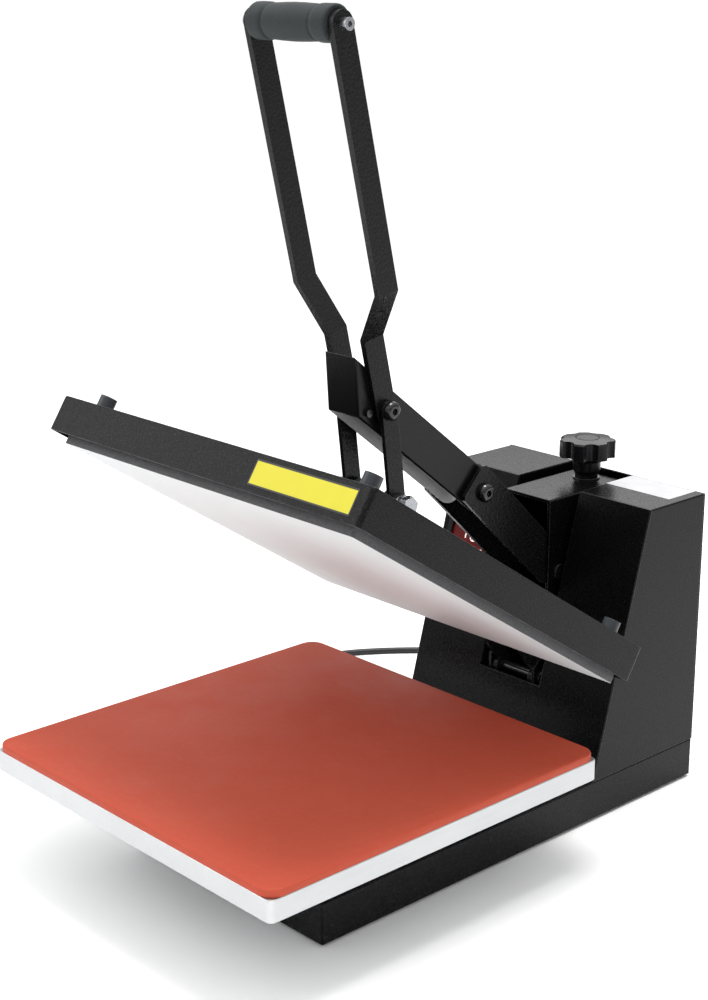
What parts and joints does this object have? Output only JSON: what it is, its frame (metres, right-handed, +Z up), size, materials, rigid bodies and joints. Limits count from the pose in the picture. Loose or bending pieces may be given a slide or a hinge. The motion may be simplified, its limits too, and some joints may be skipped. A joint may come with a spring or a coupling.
{
  "type": "clamshell heat press",
  "caption": "Clamshell heat press with a lever-driven hinged upper platen over a fixed padded lower platen, a pressure knob and a control housing.",
  "frame": {"origin": "on the bench, under the middle of the press (the cord, its coil, the plug and the gland are left out)", "axes": "+Z up, +Y to the rear where the housing stands, +X to the operator's right"},
  "size_m": [0.5738, 0.726, 0.7566],
  "materials": {
    "black_coat": "hammered powder coat",
    "cover_coat": "hammered powder coat",
    "housing_coat": "fine powder coat",
    "plate_aluminium": "ground",
    "standoff_aluminium": "satin",
    "zinc_steel": "bright zinc",
    "dark_steel": "black oxide",
    "stud_grey": "satin",
    "pad_silicone": "matt",
    "foot_rubber": "matt",
    "grip_foam": "matt foam",
    "knob_plastic": "satin",
    "switch_plastic": "gloss",
    "rocker_red": "gloss",
    "display_plastic": "gloss",
    "button_plastic": "satin",
    "board_green": "satin",
    "relay_plastic": "satin",
    "heater_steel": "satin",
    "insulation_white": "matt board",
    "label_white": "satin",
    "label_yellow": "satin",
    "cord_rubber": "matt",
    "plug_rubber": "satin"
  },
  "bodies": {
    "base": {"base_frame": "black_coat", "rubber_feet": "foot_rubber", "platen_pedestal": "black_coat", "platen_standoffs": "standoff_aluminium", "lower_platen": "plate_aluminium", "platen_screws": "zinc_steel", "silicone_pad": "pad_silicone", "tower_frame": "black_coat", "tower_bolts": "dark_steel", "pivot_pins": "dark_steel", "front_panel": "housing_coat", "housing_left_shell": "housing_coat", "housing_right_shell": "housing_coat", "rear_panel": "housing_coat", "housing_screws": "dark_steel", "rating_label": "label_white", "display_module": "display_plastic", "display_bezel": "switch_plastic", "controller_board": "board_green", "solid_state_relay": "relay_plastic", "switch_frame": "switch_plastic", "knob_washer": "dark_steel", "cord_gland": "plug_rubber", "power_cord": "cord_rubber", "cord_coil": "cord_rubber", "power_plug": "plug_rubber"},
    "pressure_adjuster": {"pressure_knob": "knob_plastic", "pressure_screw": "zinc_steel"},
    "rocker": {"rocker_plate_left": "black_coat", "rocker_plate_right": "black_coat", "trunnion_nut": "dark_steel", "arm_pivot_bolt": "dark_steel"},
    "lever": {"arm_channel": "black_coat", "cap_screws": "dark_steel", "handle_bar_left": "black_coat", "handle_bar_right": "black_coat", "grip_rod": "zinc_steel", "foam_grip": "grip_foam", "grip_screws": "zinc_steel", "knee_bolt": "dark_steel"},
    "links": {"link_bar_left": "black_coat", "link_bar_right": "black_coat", "link_bolts": "zinc_steel"},
    "upper_platen": {"platen_cover": "cover_coat", "heating_plate": "plate_aluminium", "heating_elements": "heater_steel", "insulation_board": "insulation_white", "thermostat": "zinc_steel", "cover_studs": "stud_grey", "yoke_base": "black_coat", "yoke_bolts": "zinc_steel", "yoke_plate_left": "black_coat", "yoke_plate_right": "black_coat", "yoke_pin": "zinc_steel", "caution_label": "label_yellow"},
    "mode_key": {"mode_button": "button_plastic"},
    "down_key": {"down_button": "button_plastic"},
    "up_key": {"up_button": "button_plastic"},
    "switch_rocker": {"power_switch": "rocker_red"}
  },
  "joints": [
    {"name": "handle_pivot", "type": "hinge", "parent": "rocker", "child": "lever", "pos_m": [0, 0.0985, 0.316], "axis": [1, 0, 0], "range_deg": [0, 63.43]},
    {"name": "knee_pivot", "type": "hinge", "parent": "lever", "child": "links", "pos_m": [0, -0.0265, 0.415], "axis": [1, 0, 0], "range_deg": [-112.87, 0]},
    {"name": "platen_hinge", "type": "hinge", "parent": "base", "child": "upper_platen", "pos_m": [0, 0.1834, 0.1096], "axis": [1, 0, 0], "range_deg": [0, 33.08]},
    {"name": "pressure_turn", "type": "hinge", "parent": "base", "child": "pressure_adjuster", "pos_m": [0, 0.2755, 0.3165], "axis": [0, 0, 1], "range_deg": [-360, 360]},
    {"name": "rocker_tilt", "type": "hinge", "parent": "base", "child": "rocker", "pos_m": [0, 0.2033, 0.2158], "axis": [1, 0, 0], "range_deg": [-1.4, 1.4]},
    {"name": "mode_press", "type": "slide", "parent": "base", "child": "mode_key", "axis": [0, 0.9645, -0.264], "range_m": [0, 0.0015], "stiffness_N_per_m": 400},
    {"name": "down_press", "type": "slide", "parent": "base", "child": "down_key", "axis": [0, 0.9645, -0.264], "range_m": [0, 0.0015], "stiffness_N_per_m": 400},
    {"name": "up_press", "type": "slide", "parent": "base", "child": "up_key", "axis": [0, 0.9645, -0.264], "range_m": [0, 0.0015], "stiffness_N_per_m": 400},
    {"name": "switch_tilt", "type": "hinge", "parent": "base", "child": "switch_rocker", "pos_m": [0.084, 0.2965, 0.084], "axis": [1, 0, 0], "range_deg": [0, 16]}
  ],
  "couplings": [
    {"joint": "knee_pivot", "follows": "handle_pivot", "ratio": -1.7787},
    {"joint": "platen_hinge", "follows": "handle_pivot", "ratio": 0.52123},
    {"joint": "rocker_tilt", "follows": "pressure_turn", "ratio": 0.003868}
  ]
}
